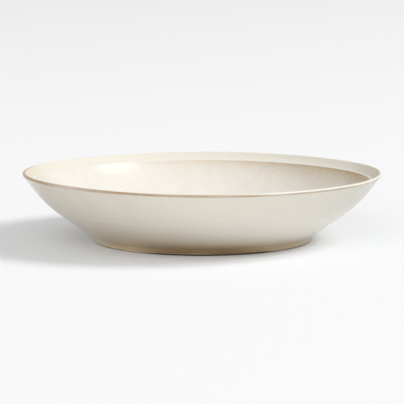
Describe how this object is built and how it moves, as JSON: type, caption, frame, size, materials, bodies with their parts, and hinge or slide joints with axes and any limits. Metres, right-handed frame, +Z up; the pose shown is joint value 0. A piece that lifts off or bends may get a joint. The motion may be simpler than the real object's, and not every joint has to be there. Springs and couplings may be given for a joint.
{
  "type": "serving bowl",
  "caption": "Low, wide stoneware serving bowl with flared walls, a gallery inside the lip, pale glaze coats, a brown rim band and a bare foot ring.",
  "frame": {"origin": "centre of the foot's standing plane, on the bowl's axis", "axes": "+Z up along the bowl's axis, out of its mouth; the bowl is round, so X and Y are any two level directions"},
  "size_m": [0.33, 0.33, 0.063],
  "materials": {
    "stoneware": "bare fired clay, dry and slightly rough",
    "pale_glaze": "satin gloss",
    "brown_glaze": "satin gloss, thin"
  },
  "bodies": {
    "root": {"clay_body": "stoneware", "foot_ring": "stoneware", "inner_glaze": "pale_glaze", "outer_glaze": "pale_glaze", "rim_band": "brown_glaze", "under_glaze": "pale_glaze"}
  },
  "joints": []
}
